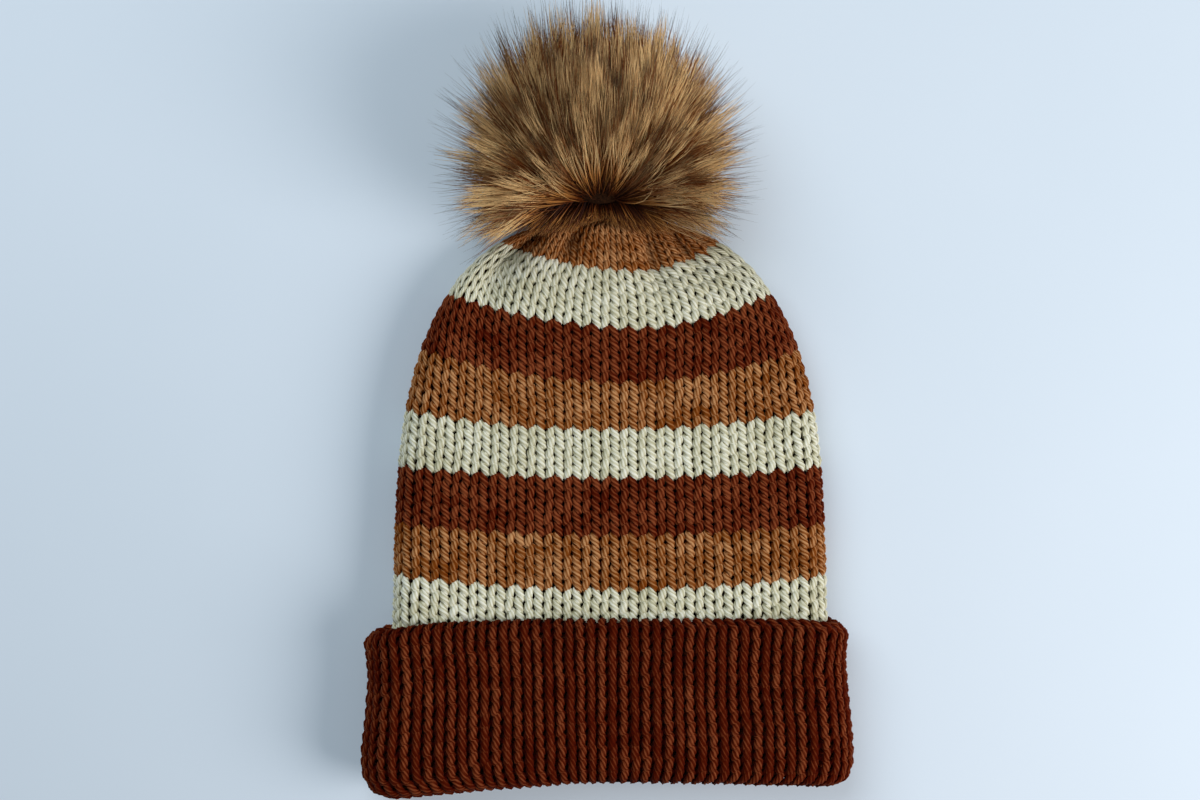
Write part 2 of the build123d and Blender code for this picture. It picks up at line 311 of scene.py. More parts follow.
def mesh_object(name, points, faces, material, body, layers=None, values=None):
    """A smooth quad mesh that rides on a body."""
    mesh = bpy.data.meshes.new(name)
    mesh.vertices.add(len(points))
    mesh.vertices.foreach_set("co", points.astype(np.float32).ravel())
    mesh.loops.add(faces.size)
    mesh.loops.foreach_set("vertex_index", faces.astype(np.int32).ravel())
    mesh.polygons.add(len(faces))
    mesh.polygons.foreach_set("loop_start", np.arange(0, faces.size, faces.shape[1], dtype=np.int32))
    mesh.polygons.foreach_set("use_smooth", np.ones(len(faces), dtype=bool))
    for layer, uv in (layers or {}).items():
        mesh.uv_layers.new(name=layer).data.foreach_set("uv", uv.astype(np.float32).ravel())
    for key, value in (values or {}).items():
        attribute = mesh.attributes.new(key, "FLOAT", "POINT")
        attribute.data.foreach_set("value", value.astype(np.float32).ravel())
    mesh.update(calc_edges=True)
    mesh.validate()
    mesh.materials.append(material)
    piece = bpy.data.objects.new(name, mesh)
    bpy.context.scene.collection.objects.link(piece)
    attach(piece, body)
    return piece


def unit(vectors):
    return vectors / np.maximum(np.linalg.norm(vectors, axis=-1, keepdims=True), 1e-12)


def rise(value, start, end):
    """0 before the start, 1 after the end, smooth between."""
    share = np.clip((value - start) / (end - start), 0, 1)
    return share * share * (3 - 2 * share)


# ---------------------------------------------------------------- yarn
PLIES = 5
SIDES = 2 * PLIES  # a crest and a valley for each ply
CREST = np.arange(SIDES) % 2 == 0
VALLEY = 0.74  # radius of a valley, where a crest has 1
PLY_TWIST = 520.0  # radians a metre, left-handed
THICKNESS_SHARE = 0.72  # the yarn is pressed to this share of its width
CENTIMETRES = 100  # to a metre, for the UVs along the yarn


def distance_along(lines):
    """Distance to each point of closed lines, and their whole length as the last value."""
    step = np.linalg.norm(np.roll(lines, -1, axis=1) - lines, axis=-1)
    return np.concatenate((np.zeros((len(lines), 1)), np.cumsum(step, axis=1)), axis=1)


def ply_angles(distance):
    """Angle of each corner round the yarn, with a whole number of turns to a closed line."""
    turns = np.round(PLY_TWIST * distance[:, -1:] / (2 * math.pi))
    turn = -2 * math.pi * turns * distance / distance[:, -1:]
    return turn[:, :-1, None] + 2 * math.pi * np.arange(SIDES) / SIDES


def yarn_rings(centre, outward, width, angle):
    """Rings of corners round a line of yarn. `outward` is the cloth's outer side."""
    tangent = unit(np.roll(centre, -1, axis=1) - np.roll(centre, 1, axis=1))
    outer = unit(outward - tangent * np.sum(outward * tangent, axis=-1, keepdims=True))
    across = np.cross(outer, tangent)
    half = width[..., None] / 2 * np.where(CREST, 1.0, VALLEY)
    return (
        centre[:, :, None, :]
        + across[:, :, None, :] * (half * np.cos(angle))[..., None]
        + outer[:, :, None, :] * (half * THICKNESS_SHARE * np.sin(angle))[..., None]
    )


def yarn_uvs(distance):
    """UVs in centimetres along the yarn, and 0 to 1 around it."""
    shape = (len(distance), distance.shape[1] - 1, SIDES)
    near = np.broadcast_to(distance[:, :-1, None] * CENTIMETRES, shape)
    far = np.broadcast_to(distance[:, 1:, None] * CENTIMETRES, shape)
    low = np.broadcast_to(np.arange(SIDES) / SIDES, shape)
    return corner_values(near, far, low, low + 1 / SIDES)


# ---------------------------------------------------------------- knitting
# rings: rings of the tube in a stitch. lean: how far the loop leans past its wale, with
#   tilt as the difference between its two legs. overlap: how far a loop reaches into the next
#   row. depth: how far its head lies behind its legs. share: the yarn's width as a share of the
#   wale, up to widest, with fullness added in the crown. swell: how much thinner the head is.
# bright and uneven: tone of the legs, and how much it differs from stitch to stitch
Gauge = namedtuple("Gauge", "rings lean tilt overlap depth share fullness widest swell uneven bright")
BODY_GAUGE = Gauge(20, 0.190, 0.1, 3.3 * MM, 1.4 * MM, 0.475, 0.16, 4.5 * MM, 0.20, 0.08, 0.97)
CUFF_GAUGE = Gauge(18, 0.105, -0.45, 3.2 * MM, 1.2 * MM, 0.415, 0.0, 4.5 * MM, 0.10, 0.03, 0.87)
WALES = 48
NARROWEST = 1.6 * MM
CROWN_ROWS = (25, 36)
REACH_LIMITS = (0.55, 1.0)  # of a row, for the reach of a loop each way
STEP = 0.05  # of a stitch, for slopes of the cloth
TABLE_GAP = 0.1 * MM  # the yarn lies pressed against the table
STITCH_MARGIN = 0.05
BURIED_SHADE_TONE = 0.15  # painted shade: tone of a loop's buried head, where its legs have 1
LEG_STARTS = (0.15, 0.75)  # between the head and the leg, where the painted shade ends
# Painted highlight: the leg that leans more is lit brighter, by this much of the tilt
TILT_HIGHLIGHT = 0.16
# Painted shade in the valleys between the plies
VALLEY_SHADE_TONE = 0.6
UNDERSIDE_SHADE_CURVE = 0.7  # how fast the painted shade deepens towards the yarn's under side

# How much one stitch differs from the next, as a standard deviation
UNEVEN_LEAN = 0.008  # of a wale
UNEVEN_WALE = 0.03
UNEVEN_ROW = 0.035
UNEVEN_DEPTH = 0.12 * MM
UNEVEN_WIDTH = 0.03  # of the yarn's width


def outward_side(surface, u, v):
    """The outer side of a surface of wales and rows."""
    slope_u = surface(u + STEP, v) - surface(u - STEP, v)
    slope_v = surface(u, v + STEP) - surface(u, v - STEP)
    return unit(np.cross(slope_u, slope_v))


def knit(name, surface, rows, gauge, material, replaced):
    """Rows of linked loops on a surface, one closed line of yarn for each row."""
    rings = WALES * gauge.rings
    position = np.arange(rings) / gauge.rings
    t = 2 * math.pi * position
    stitch = np.floor(position).astype(int)
    part = position - stitch

    def per_stitch(amount):
        value = random.normal(0, amount, (len(rows), WALES))
        return value[:, stitch] * (1 - part) + value[:, (stitch + 1) % WALES] * part

    middle_u = np.broadcast_to(position, (len(rows), rings))
    middle_v = np.broadcast_to(np.asarray(rows, float)[:, None], (len(rows), rings))
    row_pitch = np.linalg.norm(
        surface(middle_u, middle_v + 0.5) - surface(middle_u, middle_v - 0.5), axis=-1
    )
    wale_pitch = np.linalg.norm(
        surface(middle_u + 0.5, middle_v) - surface(middle_u - 0.5, middle_v), axis=-1
    )
    reach = np.clip(0.5 + gauge.overlap / 2 / np.maximum(row_pitch, 1 * MM), *REACH_LIMITS)
    crowded = 1 + gauge.fullness * rise(middle_v, *CROWN_ROWS)
    width = np.clip(gauge.share * crowded * wale_pitch, NARROWEST, gauge.widest)
    lean = gauge.lean * (1 + gauge.tilt * np.sin(t)) + per_stitch(UNEVEN_LEAN)
    u = middle_u + lean * np.sin(2 * t) + per_stitch(UNEVEN_WALE)
    v = middle_v - reach * np.cos(t) + per_stitch(UNEVEN_ROW)
    depth = -gauge.depth * np.cos(2 * t) * width / gauge.widest + per_stitch(UNEVEN_DEPTH)
    outward = outward_side(surface, u, v)
    centre = surface(u, v) + outward * depth[..., None]
    distance = distance_along(centre)
    angle = ply_angles(distance)
    leg = 1 - gauge.swell * np.cos(t) ** 2
    points = yarn_rings(centre, outward, width * leg * (1 + per_stitch(UNEVEN_WIDTH)), angle)
    points[..., 2] = np.maximum(points[..., 2], TABLE_GAP)

    # Painted shade on the buried heads and sinkers, which lie deep between the legs
    painted_gap_shade = BURIED_SHADE_TONE + (1 - BURIED_SHADE_TONE) * rise(np.abs(np.sin(t)), *LEG_STARTS)
    # Each stitch's own tone, with a painted highlight on the leg that leans more
    stitch_tone_and_highlight = gauge.bright + per_stitch(gauge.uneven) + TILT_HIGHLIGHT * gauge.tilt * np.sin(t)
    # Painted shade falls towards the yarn's under side
    tone = (painted_gap_shade * stitch_tone_and_highlight)[..., None] * (0.5 + 0.5 * np.sin(angle)) ** UNDERSIDE_SHADE_CURVE
    bake_uvs = bake_layout(
        (np.arange(len(rows))[:, None] * WALES + stitch)[..., None],
        len(rows) * WALES,
        np.round(part * gauge.rings)[:, None],
        gauge.rings,
        np.arange(SIDES),
        SIDES,
        STITCH_MARGIN,
    )
    piece = mesh_object(
        name,
        points.reshape(-1, 3),
        grid_faces(len(rows), rings, SIDES, True),
        material,
        "hat",
        {"yarn": yarn_uvs(distance), "OFBake": bake_uvs},
        # the plies' valleys take painted shade
        {"tone": tone * np.where(CREST, 1.0, VALLEY_SHADE_TONE)},
    )
    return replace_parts(piece, *replaced)


# ---------------------------------------------------------------- the shape of the cloth
CUFF_EXIT_Y = MOUTH_Y + 84 * MM
BODY_HALF_HEIGHT = 13.6 * MM
BODY_Z = 15 * MM
SETTLED = 0.3  # of the way to the nose, where the body has come down from the cuff's height
NOSE_HALF_WIDTH = 8.5 * MM
NOSE_HALF_HEIGHT = 3.8 * MM
NOSE_Z = 20.6 * MM


def section(y):
    """Half width, half height and middle height of the body at a place along the hat.
    Seen from above it narrows to the nose by a curve of the third power, as the CAD does. Its
    height changes near the cuff and near the nose."""
    share = np.clip((y - CUFF_EXIT_Y) / (NOSE_Y - CUFF_EXIT_Y), 0, 0.9999)
    half_width = np.maximum(NOSE_HALF_WIDTH, BODY_HALF_WIDTH * (1 - share**3) ** (1 / 3))
    thinning = np.sqrt(1 - share**12)
    half_height = NOSE_HALF_HEIGHT + (BODY_HALF_HEIGHT - NOSE_HALF_HEIGHT) * thinning
    settling = np.maximum(0, 1 - share / SETTLED) ** 2
    middle = BODY_Z + (CUFF_Z - BODY_Z) * settling + (NOSE_Z - BODY_Z) * share**16
    return half_width, half_height, middle


def flattened_ring(u, half_width, half_height, spread):
    """Place across the hat and the outward direction, for a wale on a flattened tube.
    Wale 0 is the left fold, 12 the middle of the front and 24 the right fold."""
    turn = np.mod(u, WALES)
    front = turn <= WALES / 2
    side = np.where(front, turn, WALES - turn) / (WALES / 4) - 1
    side = spread * side + (1 - spread) * side * np.abs(side) ** 2
    straight = half_width - half_height
    reach = side * (straight + math.pi / 2 * half_height)
    bend = np.clip((np.abs(reach) - straight) / half_height, 0, math.pi / 2)
    out_x = np.sign(side) * np.sin(bend)
    out_z = np.where(front, 1.0, -1.0) * np.cos(bend)
    return np.clip(reach, -straight, straight) + half_height * out_x, out_x, out_z


# Rows are counted from under the cuff to the tie. Each mark has a row, and its place along the
# hat in mm, at the middle of the front and at the sides. Rows 0 to 35 are the colour changes.
ROWS = (
    (-12, -185, -180),
    (0, -121, -114),
    (5, -92.2, -85.5),
    (10, -66.1, -60.8),
    (15, -37.9, -32.5),
    (20, -14.3, -5.7),
    (25, 8.3, 24.4),
    (30, 35.1, 52.0),
    (35, 63.0, 77.5),
    (36, 67.6, 79),
    (37, 72.2, 80.3),
    (38, 76.8, 81.5),
    (39, 81.3, 82.6),
    (40, 85.7, 84.2),
    (41, 88.6, 87.1),
)
ROW_MARKS, ROW_MIDDLES, ROW_ENDS = zip(*ROWS)
BODY_SHIFT = 1.3 * MM  # the body lies a little to the right of the cuff
SHELL_INSET = 2.7 * MM
FRONT_SWELL = 2.0 * MM
SWELL_ROWS = (3, 10)

# Rows of the crown with how much wider the wales lie in the middle than at the sides
WALE_SPREAD = ((18, 22, 26, 30, 34, 41), (1, 1.04, 1.14, 1.30, 1.42, 1.45))
# Rows of the crown with the lowest point of the row, as a share of the half width to the right
LOWEST_POINT = ((18, 30, 35), (0, 0.14, 0.24))

# Folds of the gathered crown: wale, half width in wales, first row, row of full depth, depth
CROWN_FOLDS = (
    (4.6, 1.4, 27, 35, 10 * MM),
    (15.0, 1.0, 31, 36, 6 * MM),
    (18.0, 0.7, 31, 36, 4.5 * MM),
    (20.6, 0.8, 30, 35, 5 * MM),
    (8.6, 0.9, 34, 38, 5 * MM),
    (28.5, 1.2, 29, 35, 5 * MM),
    (34.0, 1.1, 31, 36, 4 * MM),
    (39.5, 1.2, 30, 36, 5 * MM),
    (44.0, 1.0, 31, 36, 4 * MM),
)
GATHERS = 11
GATHER_DEPTH = 1.6 * MM
GATHER_ROWS = (34, 39)
GATHER_PHASE = 0.6
TIED_ROWS = (37.5, 40)  # where the tie pulls the folds flat again
TIED_SHARE = 0.8


def fold_depth(u, v):
    """How far the gathered crown folds in."""
    turn = np.mod(u, WALES)
    gathers = np.cos(math.pi * GATHERS * u / WALES + GATHER_PHASE) ** 2
    depth = GATHER_DEPTH * rise(v, *GATHER_ROWS) * gathers
    for wale, half_width, first, full, amount in CROWN_FOLDS:
        depth = depth + amount * rise(v, first, full) * np.exp(-(((turn - wale) / half_width) ** 2))
    return depth * (1 - TIED_SHARE * rise(v, *TIED_ROWS))


def hat_surface(u, v, inset=SHELL_INSET):
    """A point of the body's cloth at a wale and a row."""
    end_y = np.interp(v, ROW_MARKS, ROW_ENDS) * MM
    middle_y = np.interp(v, ROW_MARKS, ROW_MIDDLES) * MM
    half_width, half_height, _ = section(end_y)
    spread = np.interp(v, *WALE_SPREAD)
    half_width = half_width - inset
    x, out_x, out_z = flattened_ring(u, half_width, np.maximum(half_height - inset, 1 * MM), spread)
    across = x / half_width
    lowest = np.interp(v, *LOWEST_POINT)
    bow = np.where(across < lowest, (lowest - across) / (1 + lowest), (across - lowest) / (1 - lowest))
    y = middle_y + (end_y - middle_y) * bow**2
    _, height, middle_z = section(y)
    swell = FRONT_SWELL * (1 - across**2) * np.maximum(out_z, 0) * rise(v, *SWELL_ROWS)
    fold = fold_depth(u, v)
    z = middle_z + np.maximum(height - inset, 1 * MM) * out_z + swell
    return np.stack((x + BODY_SHIFT - fold * out_x, y, z - fold * out_z), axis=-1)


# The cuff's cloth: in from the lining, round the mouth, up the face and over the top fold
CUFF_ROW = 5.75 * MM
MOUTH_LIP = 8 * MM
MOUTH_INSET = (12 * MM, 9.3 * MM)  # how much smaller the opening is, across and up
TOP_FOLD = 3.6 * MM
LINING_SHOWN = 34 * MM
HIDDEN_LENGTH = 12 * MM
CUFF_INSET = 2.6 * MM
CUFF_RAISED = (4.6 * MM, 3.2 * MM)  # the mouth and the fold lie this much nearer the crown
CUFF_SAG = 4.5 * MM  # the left end lies this much further from the crown than the middle
LOW_SAG = (4.6 * MM, 2.4 * MM)  # the mouth's left and right ends do so by this much more
TOP_CORNER = 4 * MM  # how far the corners at the fold are rounded off
LOW_CORNER = 5.5 * MM  # how far the lower left corner is drawn in
LOW_CORNER_END = 0.24  # of the cuff's depth
RIDGE_DRIFT = 4.5 * MM  # the left ridges run a little to the right on their way down
WAIST = 1.6 * MM  # the cuff is wider near the mouth and narrower near the fold
BACK_WAIST = 0.6  # of that, on its under side
RIPPLE = 0.6 * MM
TURN_POINTS = 25  # of the cuff's profile, at each of its two turns
INSIDE_POINTS = 11
HIDDEN_POINTS = 5


def cuff_profile():
    """Points along the cuff's cloth: height, inset across, inset up, and distance in rows."""
    low = MOUTH_Y + CUFF_INSET + MOUTH_LIP + CUFF_RAISED[0]
    high = CUFF_TOP_Y - CUFF_INSET - TOP_FOLD + CUFF_RAISED[1]
    turn = np.linspace(0, math.pi, TURN_POINTS)
    inside = np.linspace(low + LINING_SHOWN, low, INSIDE_POINTS + 1)[:-1]
    hidden = np.linspace(high, high - HIDDEN_LENGTH, HIDDEN_POINTS + 1)[1:]
    y = np.concatenate((inside, low - MOUTH_LIP * np.sin(turn), high + TOP_FOLD * np.sin(turn), hidden))
    lip, top = (1 + np.cos(turn)) / 2, TOP_FOLD * (1 - np.cos(turn))
    across, up = (
        np.concatenate(
            (np.full(INSIDE_POINTS, inset), lip * inset, top, np.full(HIDDEN_POINTS, 2 * TOP_FOLD))
        )
        for inset in MOUTH_INSET
    )
    length = np.concatenate(((0,), np.cumsum(np.hypot(np.diff(y), np.diff(up)))))
    return y, across, up, length / CUFF_ROW


CUFF_Y, CUFF_ACROSS, CUFF_UP, CUFF_ROWS = cuff_profile()


def cuff_surface(u, v):
    """A point of the cuff's cloth at a wale and a row."""
    y = np.interp(v, CUFF_ROWS, CUFF_Y)
    across = np.interp(v, CUFF_ROWS, CUFF_ACROSS)
    up = np.interp(v, CUFF_ROWS, CUFF_UP)
    half_width = CUFF_HALF_WIDTH - CUFF_INSET - across
    half_height = CUFF_HALF_HEIGHT - CUFF_INSET - up
    along = (y - MOUTH_Y) / (CUFF_TOP_Y - MOUTH_Y)
    waist = WAIST * np.sin(2 * math.pi * along)
    half_width = half_width + waist * np.where(np.mod(u, WALES) < WALES / 2, 1, BACK_WAIST)
    x, out_x, out_z = flattened_ring(u, half_width, half_height, 1.0)
    side = x / half_width
    left = np.maximum(-side, 0)
    right = np.maximum(side, 0)
    sag = CUFF_SAG * left**2.5 + (LOW_SAG[0] * left + LOW_SAG[1] * right**2) * (1 - along)
    y = y - sag - TOP_CORNER * side**10 * rise(along, 0.7, 1)
    drift = 4 * RIDGE_DRIFT * left * (1 - left) * (1 - along)
    x = x + drift + LOW_CORNER * left**2 * (1 - rise(along, 0, LOW_CORNER_END))
    ripple = RIPPLE * np.sin(u * 1.7 + 2.0 * along) * rise(np.abs(along - 0.5), 0.2, 0.5)
    return np.stack((x + ripple * out_x, y, CUFF_Z + half_height * out_z + ripple * out_z), axis=-1)


# ---------------------------------------------------------------- the knitted pieces
STRIPES = ("cream", "caramel", "rust", "cream", "caramel", "rust", "cream", "caramel")
STRIPE_ROWS = 5
for order, colour in enumerate(STRIPES):
    node = f"stripe_{len(STRIPES) - order}_{colour}"
    start = order * STRIPE_ROWS
    end = ROW_MARKS[-1] if order == len(STRIPES) - 1 else start + STRIPE_ROWS
    knit(
        f"knit_{node}",
        hat_surface,
        np.arange(start, end) + 0.5,
        BODY_GAUGE,
        YARNS[colour],
        [node],
    )

cuff_rows = np.arange(int(CUFF_ROWS[-1])) + 0.5
half = len(cuff_rows) // 2
for name, rows in (("knit_cuff_lower", cuff_rows[:half]), ("knit_cuff_upper", cuff_rows[half:])):
    knit(name, cuff_surface, rows, CUFF_GAUGE, RUST, ["cuff_face"])


# ---------------------------------------------------------------- the hidden layers
SHEET_THICKNESS = 1.0 * MM
RELIEF = 0.45 * MM
PER_WALE = 6
PER_ROW = 4
LEG_SLANT = 0.45  # of a row
# Painted shade: how much darker the hollows of the relief are
RELIEF_SHADE = 0.3


def knitted_sheet(name, surface, start, end, replaced, material, light):
    """A layer of the tube behind the outer one, with the relief of its stitches and painted shade in the
    relief's hollows.
    """
    columns = WALES * PER_WALE
    lines = int((end - start) * PER_ROW) + 1
    v, u = np.meshgrid(
        np.linspace(start, end, lines), np.arange(columns) / PER_WALE, indexing="ij"
    )
    leg = np.abs(2 * np.mod(u, 1) - 1)
    relief = np.cos(2 * math.pi * (v - LEG_SLANT * leg)) * np.sin(math.pi * np.mod(2 * leg, 1)) ** 2
    points = surface(u, v) + outward_side(surface, u, v) * (RELIEF * relief)[..., None]
    line, column = np.meshgrid(np.arange(lines - 1), np.arange(columns), indexing="ij")
    beside = (column + 1) % columns
    faces = np.stack(
        (
            line * columns + column,
            line * columns + beside,
            (line + 1) * columns + beside,
            (line + 1) * columns + column,
        ),
        axis=-1,
    ).reshape(-1, 4)
    tone = {"tone": light + RELIEF_SHADE * relief}
    piece = mesh_object(name, points.reshape(-1, 3), faces, material, "hat", None, tone)
    solid = piece.modifiers.new("thickness", "SOLIDIFY")
    solid.thickness = SHEET_THICKNESS
    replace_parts(piece, replaced)


LINING_INSET = 8.2 * MM
BRIM_INSET = 1.5 * MM
BACKING_INSET = 3.6 * MM


def lining_surface(u, v):
    return hat_surface(u, v, LINING_INSET)


def brim_surface(u, v):
    """The end of the shell that turns up inside the cuff."""
    return hat_surface(u, v, BRIM_INSET)


def backing_surface(u, v):
    """The hidden layer of the cuff, just behind its face."""
    return cuff_surface(u, v) - BACKING_INSET * outward_side(cuff_surface, u, v)


# The lining and the shell's brim wear the rust yarn darkened with painted shade
knitted_sheet("knit_lining", lining_surface, -6, 37, "lining", SHADED_RUST, 0.5)
knitted_sheet("knit_shell_brim", brim_surface, -12, -0.25, "shell_brim", SHADED_RUST, 0.5)
knitted_sheet("knit_cuff_backing", backing_surface, 0, CUFF_ROWS[-1], "cuff_backing", RUST, 0.7)


# ---------------------------------------------------------------- small yarns and threads
SMALL_YARN_TONES = (0.62, 0.42)  # of the plies' crests and valleys, with painted shade in the valleys


def closed_lines(name, lines, outward, width, material, body, replaced):
    """Closed lines of yarn or thread."""
    distance = distance_along(lines)
    points = yarn_rings(lines, outward, np.full(lines.shape[:2], width), ply_angles(distance))
    count, rings = lines.shape[:2]
    piece = mesh_object(
        name,
        points.reshape(-1, 3),
        grid_faces(count, rings, SIDES, True),
        material,
        body,
        {"yarn": yarn_uvs(distance)},
        {"tone": np.broadcast_to(np.where(CREST, *SMALL_YARN_TONES), points.shape[:3])},
    )
    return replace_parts(piece, replaced)


def middle_of(node):
    low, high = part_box(node)
    return np.array((low + high) / 2)


RING_POINTS = 96
TURNED = 2 * math.pi * np.arange(RING_POINTS) / RING_POINTS
CINCH_WIDTH = 1.6 * MM
for node in ("shell_cinch_yarn", "lining_cinch_yarn"):
    low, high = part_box(node)
    ring_radius = (high.x - low.x - CINCH_WIDTH) / 2
    around = np.stack((np.cos(TURNED), np.zeros(RING_POINTS), np.sin(TURNED)), axis=-1)
    closed_lines(
        f"spun_{node}",
        (middle_of(node) + ring_radius * around)[None],
        around[None],
        CINCH_WIDTH,
        RUST if node.startswith("lining") else CARAMEL,
        "hat",
        node,
    )

# An overhand knot for each colour change, as a trefoil, between the layers at the right fold
KNOT_SIZE = 0.45 * MM
KNOT_YARN = 0.9 * MM
KNOT_WALE = 23.6
KNOT_INSET = SHELL_INSET + 3 * MM
trefoil = np.stack(
    (
        np.sin(TURNED) + 2 * np.sin(2 * TURNED),
        np.cos(TURNED) - 2 * np.cos(2 * TURNED),
        -np.sin(3 * TURNED),
    ),
    axis=-1,
)
knot_rows = np.arange(len(STRIPES)) * STRIPE_ROWS + 0.5
knot_places = hat_surface(np.full(len(STRIPES), KNOT_WALE), knot_rows, KNOT_INSET)
closed_lines(
    "knotted_yarn_ends",
    knot_places[:, None, :] + KNOT_SIZE * trefoil[None],
    np.broadcast_to(trefoil, (len(STRIPES), RING_POINTS, 3)),
    KNOT_YARN,
    RUST,
    "hat",
    "yarn_end_knots",
)

# The ball of wound thread that the socket turns on
WINDINGS = 17
WOUND_POINTS = 900
WOUND_THREAD = 0.55 * MM
ball_low, ball_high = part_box("socket_thread")
ball_radius = (ball_high.x - ball_low.x - WOUND_THREAD) / 2
wound = np.linspace(0, 2 * math.pi, WOUND_POINTS, endpoint=False)
tip = math.pi / 2 * np.sin(wound)
ball = np.stack(
    (np.cos(WINDINGS * wound) * np.cos(tip), np.sin(WINDINGS * wound) * np.cos(tip), np.sin(tip)),
    axis=-1,
)
closed_lines(
    "wound_socket_thread",
    (np.array(PIVOT) + ball_radius * ball)[None],
    ball[None],
    WOUND_THREAD,
    THREAD,
    "thread",
    "socket_thread",
)

# The snap, the gathering thread and the pom's skin keep their CAD shape
for node, material in (
    ("snap_socket", PLASTIC),
    ("snap_stud", PLASTIC),
    ("stud_cap", PLASTIC),
    ("pom_gather_thread", THREAD),
    ("pom_backing", UNDERCOAT),
):
    cad_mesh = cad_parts[node].data
    cad_mesh.materials.clear()
    cad_mesh.materials.append(material)

# ---------------------------------------------------------------- filling of the pom
FILLING_GAP = 2.2 * MM
FLAT_GAP = 13.5 * MM  # from the snap's thread to the flat side, where the stud's cap is
LUMP = 0.8 * MM
LUMP_WAVES = (420, 390, 450)  # radians a metre along x, y and z
flat = FLAT_GAP - np.linalg.norm(POM_CENTRE - np.array(PIVOT))
filling_mesh = bpy.data.meshes.new("stuffed_pom_filling")
shape = bmesh.new()
bmesh.ops.create_icosphere(shape, subdivisions=5, radius=BACKING_RADIUS - FILLING_GAP)
for vertex in shape.verts:
    lumps = LUMP * math.prod(math.sin(wave * place) for wave, place in zip(LUMP_WAVES, vertex.co))
    vertex.co -= vertex.co.normalized() * (LUMP + lumps)
    height = vertex.co.dot(Vector(POM_AXIS))
    if height < flat:
        vertex.co += Vector(POM_AXIS) * (flat - height)
shape.to_mesh(filling_mesh)
shape.free()
filling_mesh.transform(Matrix.Translation(POM_CENTRE))
filling_mesh.materials.append(FILLING)
filling = bpy.data.objects.new("stuffed_pom_filling", filling_mesh)
bpy.context.scene.collection.objects.link(filling)
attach(filling, "pom")
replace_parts(filling, "pom_filling")

# ---------------------------------------------------------------- the fur
# Angles are polar angles from the pom's axis, which points away from the hat, and azimuths
# round it, where 0 is the right side and 90 degrees the top.
HAIRS = 21000
HAIR_RADIUS = 0.25 * MM
HAIR_SIDES = 3
TAPER = np.array((0.9, 1.0, 0.95, 0.8, 0.5, 0.12))  # from root to tip, a ring at each
HAIR_RINGS = len(TAPER)
HAIR_MARGIN = 0.15
FUR_PIECES = 4
GOLDEN_ANGLE = math.pi * (3 - math.sqrt(5))
POM_SIDE = np.array((1.0, 0.0, 0.0))
POM_FRONT = np.cross(POM_SIDE, POM_AXIS)

WIDEST_TIP = math.radians(130)  # at the sides
FRONT_NARROWING = math.radians(66)  # the fur on top is combed away from the crown
TABLE_NARROWING = math.radians(18)
FARTHEST_ROOT = math.radians(156)
ROOT_RADIUS = BACKING_RADIUS - 1 * MM
ROOT_CLOSENESS = 2.6  # how much nearer the snap the roots are than the tips
SHORTER = 0.09  # of the pom's radius, that plain hairs end inside it
BOW = (6 * MM, 2.5 * MM)  # mean and spread
WAVE = 1.6 * MM

LOCKS = 640
DARK_LOCKS = 0.42  # of all locks
LOCK_TONES = (0.8, 0.12)  # of a dark and a golden lock
GATHERED = (0.45, 0.97)  # how far a tip leans over to the middle of its lock
SHORT_HAIRS = (0.4, 0.7)  # of all hairs, and the length of the shortest
GUARD_HAIRS = 0.12  # of the hairs are long, thin, loose and dark
GUARD_LENGTH = (0.94, 1.13)
GUARD_THICKNESS = 0.6

# How far the fur reaches, as shares of the pom's radius: the least, and more at some places
LEAST_REACH = 0.95
SIDE_REACH = 0.08
LEFT_REACH = 0.045
BACK_REACH = 0.13

# Spreads of what is drawn at random: directions in radians, and the rest as shares
AIM_SPREAD = 0.02
GUARD_AIM_SPREAD = 0.09
TONE_SPREAD = 0.1
LOCK_LENGTH_SPREAD = 0.06
DARK_LOCK_SHORTER = 0.05
LOCK_ROOT_SPREAD = 0.10
HAIR_LENGTH_SPREAD = 0.03
ROOT_RANGE = (0.8, 1.08)
ROOT_TURN_SPREAD = 0.12
COLLAR_RANGE = (0.9, 1)
THICKNESS_RANGE = (0.7, 1.2)

# The collar is short hair that hides the snap
COLLAR_SHARE = 0.18
COLLAR_SIDE_POLAR = (math.radians(112), math.radians(150))
COLLAR_FRONT_POLAR = (math.radians(147), math.radians(162))
COLLAR_ROOT_POLAR = (math.radians(122), math.radians(158))
COLLAR_LEAN = math.radians(6)
COLLAR_REACH = (30 * MM, 34.5 * MM)
COLLAR_SIDEWAYS = 26 * MM  # further than that at the sides
COLLAR_LIMIT = 33.5 * MM  # along the axis, which just laps over the crown
COLLAR_LAP = 7.5 * MM  # further than that over the shoulders
COLLAR_BOW = 0.3
COLLAR_TONE = 0.2
COLLAR_PART = 0.5  # its tips have the colour of a hair's middle

HAIR_GAP = 1.2 * MM  # between a hair and the crown under it
CROWN_SIDE = 6 * MM  # below the crown's middle, where hairs go under it and not over
UNDER_SHARE = 0.2
FLOOR_GAP = 0.5 * MM
FLOOR_SOFTNESS = 5 * MM  # the height at which hairs begin to bend away from the table


def round_axis(polar, azimuth):
    """Directions at a polar angle from the pom's axis."""
    ring = np.cos(azimuth)[..., None] * POM_SIDE + np.sin(azimuth)[..., None] * POM_FRONT
    return np.cos(polar)[..., None] * POM_AXIS + np.sin(polar)[..., None] * ring


def widest_tip(azimuth):
    """How far the tips of the fur lean from the pom's axis, on each of its sides."""
    front, table = np.maximum(np.sin(azimuth), 0), np.maximum(-np.sin(azimuth), 0)
    return WIDEST_TIP - FRONT_NARROWING * front**3 - TABLE_NARROWING * table


